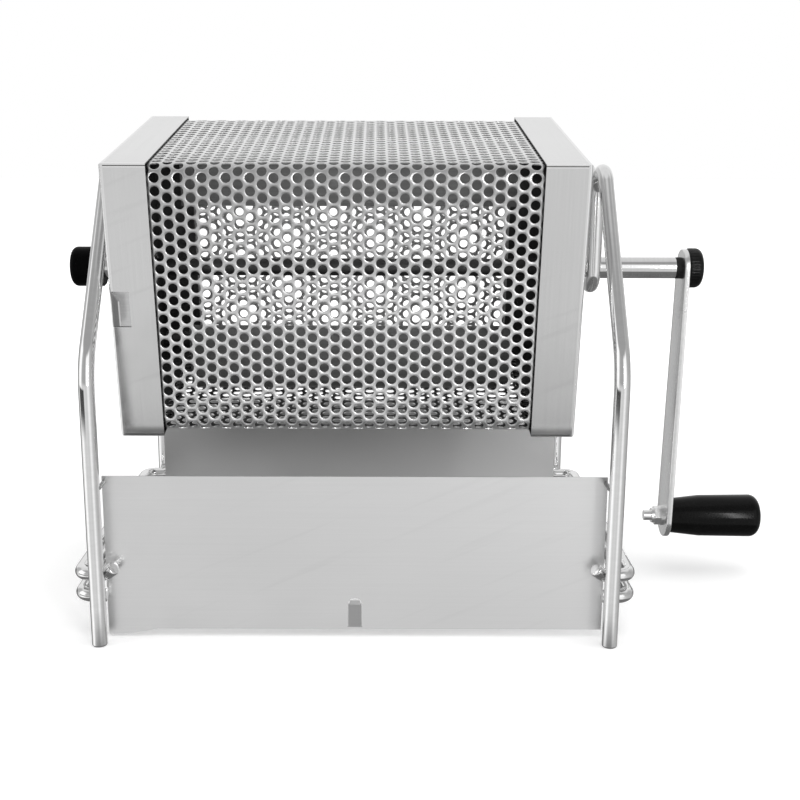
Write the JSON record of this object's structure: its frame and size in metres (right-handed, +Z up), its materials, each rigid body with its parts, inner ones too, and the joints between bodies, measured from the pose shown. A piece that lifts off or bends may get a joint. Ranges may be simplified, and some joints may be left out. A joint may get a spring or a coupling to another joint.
{
  "type": "stovetop coffee bean roaster",
  "caption": "Hand cranked square drum of perforated sheet that turns in a bent wire stand over a gas ring, with a hinged door and wind shields.",
  "frame": {"origin": "on the floor, under the middle of the overall box, crank and grip included", "axes": "+X along the shaft from the plain knob to the crank, +Y from the user to the back, +Z up"},
  "size_m": [0.401, 0.208, 0.2686],
  "materials": {
    "polished_wire": "polished round steel wire, bent and welded",
    "shield_steel": "smooth satin stainless sheet",
    "cap_steel": "smooth satin stainless sheet, folded",
    "perforated_steel": "perforated stainless sheet, satin",
    "vane_steel": "dull stainless strip, darker than the sheet",
    "shaft_steel": "turned and polished stainless bar",
    "bright_fixings": "bright zinc plated fastener steel",
    "crank_steel": "flat stainless bar, lightly brushed",
    "knob_black": "black moulded plastic, glossy",
    "grip_black": "black moulded plastic, high gloss",
    "washer_black": "black fibre washer"
  },
  "bodies": {
    "stand": {"left_frame": "polished_wire", "right_frame": "polished_wire", "left_upper_rail": "polished_wire", "right_upper_rail": "polished_wire", "left_lower_rail": "polished_wire", "right_lower_rail": "polished_wire", "front_shield": "shield_steel", "rear_shield": "shield_steel", "shield_studs": "bright_fixings"},
    "drum": {"shaft": "shaft_steel", "left_cap": "cap_steel", "right_cap": "cap_steel", "front_sheet": "perforated_steel", "top_sheet": "perforated_steel", "bottom_sheet": "perforated_steel", "front_top_edge": "perforated_steel", "front_bottom_edge": "perforated_steel", "rear_bottom_edge": "perforated_steel", "rear_top_edge": "perforated_steel", "lower_vane": "vane_steel", "upper_vane": "vane_steel", "left_hub": "shaft_steel", "right_hub": "shaft_steel", "hub_screws": "bright_fixings", "drum_hinges": "cap_steel", "hinge_pins": "bright_fixings", "button_rivets": "bright_fixings", "left_knob": "knob_black", "right_knob": "knob_black", "crank_washer": "washer_black", "crank_arm": "crank_steel", "handle_bolt": "bright_fixings", "handle_washer": "bright_fixings", "handle_nut": "bright_fixings"},
    "handle": {"handle_grip": "grip_black", "grip_cap": "grip_black"},
    "door": {"door": "perforated_steel", "door_hinge_leaves": "cap_steel", "door_pull": "cap_steel"},
    "left_button": {"left_turn_button": "cap_steel"},
    "right_button": {"right_turn_button": "cap_steel"}
  },
  "joints": [
    {"name": "drum_spin", "type": "hinge", "parent": "stand", "child": "drum", "pos_m": [-0.0396, 0, 0.185], "axis": [1, 0, 0], "continuous": true},
    {"name": "handle_spin", "type": "hinge", "parent": "drum", "child": "handle", "pos_m": [0.1679, 0.00837, 0.03523], "axis": [1, 0, 0], "continuous": true},
    {"name": "door_swing", "type": "hinge", "parent": "drum", "child": "door", "pos_m": [-0.0439, 0.06352, 0.25046], "axis": [1, 0, 0], "range_deg": [0, 120]},
    {"name": "left_button_turn", "type": "hinge", "parent": "drum", "child": "left_button", "pos_m": [-0.1481, 0.07991, 0.15389], "axis": [0, -0.986, -0.1668], "range_deg": [0, 90]},
    {"name": "right_button_turn", "type": "hinge", "parent": "drum", "child": "right_button", "pos_m": [0.0603, 0.07991, 0.15389], "axis": [0, 0.986, 0.1668], "range_deg": [0, 90]}
  ]
}
